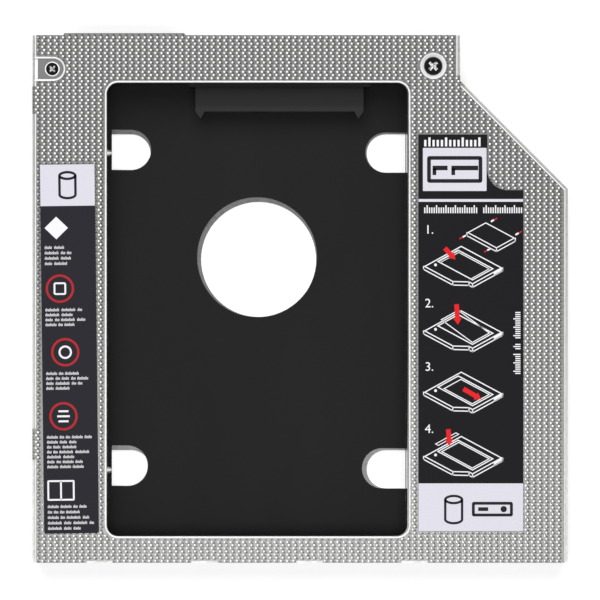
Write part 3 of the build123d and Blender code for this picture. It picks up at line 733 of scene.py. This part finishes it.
def two_part_box(ink, x, y, wide, high, line):
    """Outline of a box with a bar down its middle."""
    ink.box(x, y, wide, high, corner=0.3, width=line)
    ink.bar(x, y, wide=line, high=high - 0.5)


def tick_rows(ink, x, y, count, room, step, high, seed):
    """Block of rows of ticks in groups, each row from its base line."""
    draw = random.Random(seed)
    gap, group_lengths = 0.45, (1.0, 1.8, 2.6, 3.4)
    for row in range(count):
        lengths = []
        limit = room * draw.uniform(0.6, 1.0)
        while sum(lengths) + gap * len(lengths) + min(group_lengths) < limit:
            left_over = limit - sum(lengths) - gap * len(lengths)
            lengths.append(min(left_over, draw.choice(group_lengths)))
        ink.ticks(x, y - row * step, lengths, high, gap)


class CADDY_OT_left_label(bpy.types.Operator):
    """Lays the long printed label on the left rail"""

    bl_idname = "caddy.left_label"
    bl_label = "Left Label"

    def execute(self, context):
        look = context.scene.caddy_label
        inks = label_inks(look)
        low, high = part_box("left_label")
        centre, tilt = ((low.x + high.x) / 2 / MM, (low.y + high.y) / 2 / MM), radians(0.68)
        wide, long, corner = 13.1, 88.2, 0.5
        field, trim = 10.0, 0.1
        left, tick_high, line = -5.6, 0.75, 0.42
        film, pale, white, red, dark = (Print(centre, tilt) for _ in range(5))
        film.box(0, 0, wide, long, corner)
        pale.bar(0, (long - field) / 2, wide - trim, field - trim)
        can_icon(dark, 0.0, (long - field) / 2, wide=4.4, high=6.8, line=0.6)
        diamond(white, left, 28.9, half_wide=2.8, half_high=2.7)
        tick_rows(white, left, 23.9, count=4, room=6.6, step=1.28, high=tick_high, seed=3)
        rings = ((-2.1, 14.4), (-1.0, -0.8), (-1.6, -16.1))
        for (x, y), first_row, count in zip(rings, (9.0, -6.2, -21.4), (4, 4, 7)):
            red.disc(x, y, radius=3.4, width=0.55)
            seed = count - round(y)
            tick_rows(white, left, first_row, count, room=11.0, step=1.18, high=tick_high, seed=seed)
        square, circle, bars = rings
        white.box(*square, wide=3.0, high=3.0, corner=0.5, width=line)
        white.disc(*circle, radius=1.6, width=0.45)
        for side in (-1, 0, 1):
            white.bar(bars[0], bars[1] + side * 1.2, wide=3.0 - 0.6 * abs(side), high=0.45)
        two_part_box(white, left + 3.2, -33.8, wide=6.5, high=4.9, line=line)
        tick_rows(white, left, -38.0, count=5, room=11.5, step=1.3, high=tick_high, seed=29)
        base = low.z
        top = base + look.sheet_height
        film.make("left_label_film", base, top, inks["slate"], ("left_label",))
        pale.make("left_label_field", top, top + look.field_height, inks["pale"])
        dark.make("left_label_dark_print", top, top + look.ink_height, inks["dark"])
        white.make("left_label_white_print", top, top + look.ink_height, inks["white"])
        red.make("left_label_red_print", top, top + look.red_height, inks["ring"])
        return {"FINISHED"}


def slant(x, y, spot, lift=0.0):
    """Point of the caddy's plan in a slanted drawing, with the rear edge at the lower right."""
    return tuple(Vector(spot) + x * DRAWN_ACROSS + y * DRAWN_ALONG + Vector((0, lift)))


def draw_solid(ink, spot, corners, near, drop, line):
    """Line drawing of a flat solid: its top face, and the edges below the near corners."""
    top = [slant(x, y, spot) for x, y in corners]
    ink.outline(top, line)
    low = [(top[index][0], top[index][1] - drop) for index in near]
    for start, end in zip(low, low[1:]):
        ink.line(start, end, line)
    for index, foot in zip(near, low):
        ink.line(top[index], foot, line)


def draw_tray(ink, spot):
    """Line drawing of the caddy with its bay, screw and the plug at its rear edge."""
    line, drop, rear = 0.26, 0.7, 63
    corners = ((-64, -63), (64, -63), (64, 26), (38, 52), (38, rear), (-64, rear))
    bay = ((-47, -57), (26, -57), (26, 52), (-47, 52))
    screw, screw_radius = (39, -49), 0.34
    draw_solid(ink, spot, corners, range(1, 6), drop, line)
    ink.outline([slant(x, y, spot) for x, y in bay], line)
    ink.disc(*slant(*screw, spot), screw_radius)
    plug = ((-64, 0), (-64, -drop), (-34, -drop), (-34, 0))
    ink.area([slant(x, rear, spot, lift) for x, lift in plug])


def draw_empty_bay(ink, spot):
    """Ribs at the front of the bay, and the foot of its far walls."""
    left, right, foot_left, foot_rear = -44, 23, -39, 45
    for y in (-53, -48):
        ink.line(slant(left, y, spot), slant(right, y, spot), 0.15)
    ink.line(slant(foot_left, -44, spot), slant(foot_left, foot_rear, spot), 0.2)
    ink.line(slant(foot_left, foot_rear, spot), slant(right, foot_rear, spot), 0.2)


def draw_drive(ink, turns, spot):
    """Line drawing of a drive over the caddy, with four screws beside its corners and a mark at each."""
    corners = ((-32, -45), (32, -45), (32, 45), (-32, 45))
    screw, mark = (45, 51), (57, 62)
    draw_solid(ink, spot, corners, range(1, 4), drop=0.75, line=0.24)
    for side in (-1, 1):
        for y in (-39, 36):
            ink.line(*(slant(side * x, y, spot) for x in screw), 0.4)
            turns.line(*(slant(side * x, y, spot) for x in mark), 0.3)


def draw_fitted_drive(ink, spot, front, tilt=0.0):
    """Outline of a drive that lies in the bay or leans into it, with its front end lifted."""
    corners = ((-41, front, tilt), (20, front, tilt), (20, 46, 0), (-41, 46, 0))
    ink.outline([slant(x, y, spot, lift) for x, y, lift in corners], 0.22)


def draw_bracket(ink, spot):
    """Outline of the front bracket, which is held before the bay."""
    corners = ((-66, -81), (6, -81), (6, -70), (-66, -70))
    ink.outline([slant(x, y, spot) for x, y in corners], 0.2)


def draw_arrow(ink, x, y, long, angle):
    """Solid arrow about its middle."""
    half, wide, shaft, head = long / 2, 1.0, 0.56, 1.5
    neck = half - head
    upper = ((-half, shaft), (neck, shaft), (neck, wide), (half, 0))
    lower = ((neck, -wide), (neck, -shaft), (-half, -shaft))
    middle, turn = Vector((x, y)), Matrix.Rotation(radians(angle), 2)
    ink.area([middle + turn @ Vector(corner) for corner in upper + lower])


def draw_slots(pale, dark, x, y):
    """Pale field with the outline of a box that holds two contact slots, each with a short leg."""
    slot, leg = 1.1, 0.9
    pale.box(x, y, wide=15.2, high=10.3, corner=0.15)
    dark.box(x, y, wide=13.2, high=6.4, corner=0.6, width=0.9)
    for middle, wide in ((x - 3.5, 3.6), (x + 2.4, 6.4)):
        dark.bar(middle, y + 0.35, wide, slot)
        dark.bar(middle - wide / 2 + leg / 2, y - 0.55, leg, 1.6)


def draw_small_box(ink, x, y):
    """Outline of a low box with a bar and a dot in it."""
    ink.box(x, y, wide=9.8, high=3.5, corner=0.5, width=0.7)
    ink.bar(x - 2.2, y, wide=2.4, high=0.9)
    ink.disc(x + 2.7, y, radius=0.75)


class CADDY_OT_right_label(bpy.types.Operator):
    """Lays the printed label with four small drawings on the wing"""

    bl_idname = "caddy.right_label"
    bl_label = "Right Label"

    def execute(self, context):
        look = context.scene.caddy_label
        inks = label_inks(look)
        low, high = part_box("right_label")
        wide, long = (high.x - low.x) / MM, (high.y - low.y) / MM
        neck, shoulder, curve, steps = 16.5, -13.3, 4.8, 12
        left, trim = 1.4, 0.1
        film, pale, white, red, dark = (Print((low.x / MM, high.y / MM)) for _ in range(5))
        pivot, spoke = Vector((neck + curve, shoulder + curve)), Vector((0, -curve))
        corner = [pivot + Matrix.Rotation(-step * pi / 2 / steps, 2) @ spoke for step in range(steps + 1)]
        film.area([(0, -long), (wide, -long), (wide, shoulder), *corner, (neck, 0), (0, 0)])
        white.ticks(left, -2.85, (14.4,), high=2.15, weight=0.25)
        draw_slots(pale, dark, 8.7, -8.35)
        pale.bar(wide / 2, -15.75, wide - trim, 0.65)
        white.ticks(left, -18.8, (13.2, 9.3), high=1.9, gap=0.9)
        middle, rows, rises = 10.7, (-31.7, -47.1, -61.75, -77.1), (8.0, 5.8, 5.3, 5.8)
        spots = [(middle, y) for y in rows]
        for number, (spot, rise) in enumerate(zip(spots, rises), 1):
            draw_tray(white, spot)
            white.numeral(f"{number}.", 1.55, spot[1] + rise, high=2.1)
        empty, leaning, lying, held = spots
        draw_empty_bay(white, empty)
        draw_drive(white, red, (17.4, -24.1))
        draw_fitted_drive(white, leaning, front=-51, tilt=1.5)
        draw_fitted_drive(white, lying, front=-43)
        draw_fitted_drive(white, held, front=-50)
        draw_bracket(white, held)
        arrows = (
            (7.6, -28.5, 3.7, -47),
            (9.3, -43.0, 4.9, -86),
            (12.9, -62.0, 4.9, -30),
            (7.3, -72.4, 4.0, -86),
        )
        for x, y, size, angle in arrows:
            draw_arrow(red, x, y, size, angle)
        white.ticks(24.4, -57.2, (5.0, 1.7, 6.5), high=1.7, gap=0.9, upright=True)
        pale.bar(wide / 2, -89.05, wide - trim, 11.4)
        can_icon(dark, 8.45, -89.6, wide=4.6, high=7.1, line=0.58)
        draw_small_box(dark, 17.7, -89.5)
        base = low.z
        top = base + look.sheet_height
        film.make("right_label_film", base, top, inks["black"], ("right_label",))
        pale.make("right_label_fields", top, top + look.field_height, inks["pale"])
        dark.make("right_label_dark_print", top, top + look.ink_height, inks["dark"])
        white.make("right_label_white_print", top, top + look.ink_height, inks["white"])
        red.make("right_label_red_print", top, top + look.red_height, inks["red"])
        return {"FINISHED"}


def combined(tree, operation, first, second):
    """Result of one Math node on two outputs of a node tree."""
    node = tree.nodes.new("ShaderNodeMath")
    node.operation = operation
    tree.links.new(first, node.inputs[0])
    tree.links.new(second, node.inputs[1])
    return node.outputs[0]


def light_path_world(strength):
    """World that is white to the camera, to gloss and to glass, and gives an even light."""
    world = bpy.data.worlds.new("studio")
    world.use_nodes = True
    tree = world.node_tree
    path = tree.nodes.new("ShaderNodeLightPath").outputs
    seen = combined(tree, "MAXIMUM", path["Is Camera Ray"], path["Is Glossy Ray"])
    seen = combined(tree, "MAXIMUM", seen, path["Is Transmission Ray"])
    level = tree.nodes.new("ShaderNodeMapRange")
    level.inputs["To Min"].default_value = strength
    level.inputs["To Max"].default_value = 1.0
    tree.links.new(seen, level.inputs["Value"])
    back = tree.nodes["Background"]
    back.inputs["Color"].default_value = (1, 1, 1, 1)
    tree.links.new(level.outputs["Result"], back.inputs["Strength"])
    bpy.context.scene.world = world


def floor_material():
    """Pale floor that is white to the camera and to gloss, and keeps the shadow by the object."""
    near, far, near_glow, far_glow = 0.15, 0.6, 0.43, 1.0
    material = bpy.data.materials.new("pale_floor")
    material.use_nodes = True
    tree = material.node_tree
    tree.nodes.remove(tree.nodes["Principled BSDF"])
    diffuse = tree.nodes.new("ShaderNodeBsdfDiffuse")
    diffuse.inputs["Color"].default_value = (0.7, 0.7, 0.7, 1)
    glow = tree.nodes.new("ShaderNodeEmission")
    path = tree.nodes.new("ShaderNodeLightPath").outputs
    seen = combined(tree, "MAXIMUM", path["Is Camera Ray"], path["Is Glossy Ray"])
    reach = tree.nodes.new("ShaderNodeVectorMath")
    reach.operation = "LENGTH"
    tree.links.new(tree.nodes.new("ShaderNodeTexCoord").outputs["Object"], reach.inputs[0])
    fade = tree.nodes.new("ShaderNodeMapRange")
    for key, value in (("From Min", near), ("From Max", far), ("To Min", near_glow), ("To Max", far_glow)):
        fade.inputs[key].default_value = value
    tree.links.new(reach.outputs["Value"], fade.inputs["Value"])
    tree.links.new(combined(tree, "MULTIPLY", fade.outputs["Result"], seen), glow.inputs["Strength"])
    both = tree.nodes.new("ShaderNodeAddShader")
    tree.links.new(diffuse.outputs[0], both.inputs[0])
    tree.links.new(glow.outputs[0], both.inputs[1])
    tree.links.new(both.outputs[0], tree.nodes["Material Output"].inputs["Surface"])
    return material


def soft_lamp(name, place, sizes, power):
    """Soft lamp that faces the middle of the object."""
    lamp = bpy.data.lights.new(name, "AREA")
    lamp.shape = "RECTANGLE"
    lamp.size, lamp.size_y = sizes
    lamp.energy = power
    holder = bpy.data.objects.new(name, lamp)
    holder.location = place
    holder.rotation_euler = Vector(place).to_track_quat("Z", "Y").to_euler()
    bpy.context.scene.collection.objects.link(holder)


class CADDY_OT_stage(bpy.types.Operator):
    """Sets up the floor, the soft lamps, the even light and the camera"""

    bl_idname = "caddy.stage"
    bl_label = "Stage"

    def execute(self, context):
        stage = context.scene.caddy_stage
        floor_half, sensor = 2.0, 36.0
        key_place, key_sizes = (-0.05, 0.65, 1.15), (0.8, 0.8)
        front_place, front_sizes = (0.0, -0.13, 0.6), (0.3, 0.14)
        scene = context.scene
        scene.view_settings.view_transform = "Standard"
        light_path_world(stage.ambient)
        bm = bmesh.new()
        bmesh.ops.create_grid(bm, x_segments=1, y_segments=1, size=floor_half)
        mesh = bpy.data.meshes.new("floor")
        bm.to_mesh(mesh)
        bm.free()
        mesh.materials.append(floor_material())
        floor = bpy.data.objects.new("floor", mesh)
        scene.collection.objects.link(floor)
        soft_lamp("soft_key", key_place, key_sizes, stage.key)
        soft_lamp("soft_front", front_place, front_sizes, stage.front)
        lens = bpy.data.cameras.new("overhead")
        lens.sensor_width = sensor
        lens.lens = sensor * stage.distance / stage.view_width
        camera = bpy.data.objects.new("overhead", lens)
        camera.location = (stage.centre_x, stage.centre_y, TOP + stage.distance)
        scene.collection.objects.link(camera)
        scene.camera = camera
        return {"FINISHED"}


class CADDY_PT_panel(bpy.types.Panel):
    """Lists the steps that dress the caddy"""

    bl_label = "Drive Caddy"
    bl_idname = "CADDY_PT_panel"
    bl_space_type = "VIEW_3D"
    bl_region_type = "UI"
    bl_category = "Drive Caddy"

    def draw(self, context):
        for operator in OPERATORS:
            self.layout.operator(operator.bl_idname)
        for name in GROUPS:
            settings = getattr(context.scene, name)
            box = self.layout.box()
            for key in settings.bl_rna.properties.keys():
                if key not in ("rna_type", "name"):
                    box.prop(settings, key)


GROUPS = {
    "caddy_emboss": EmbossSettings,
    "caddy_finish": FinishSettings,
    "caddy_label": LabelSettings,
    "caddy_stage": StageSettings,
}
OPERATORS = (
    CADDY_OT_stage,
    CADDY_OT_sheet_metal,
    CADDY_OT_emboss,
    CADDY_OT_plastics,
    CADDY_OT_contacts,
    CADDY_OT_board,
    CADDY_OT_fasteners,
    CADDY_OT_left_label,
    CADDY_OT_right_label,
)


def register():
    for group in (*GROUPS.values(), *OPERATORS, CADDY_PT_panel):
        bpy.utils.register_class(group)
    for name, group in GROUPS.items():
        setattr(bpy.types.Scene, name, PointerProperty(type=group))


def unregister():
    for name in GROUPS:
        delattr(bpy.types.Scene, name)
    for group in (CADDY_PT_panel, *reversed(OPERATORS), *GROUPS.values()):
        bpy.utils.unregister_class(group)


def main():
    """Registers the add-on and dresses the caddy."""
    register()
    for operator in OPERATORS:
        family, step = operator.bl_idname.split(".")
        getattr(getattr(bpy.ops, family), step)()


if __name__ == "__main__":
    main()
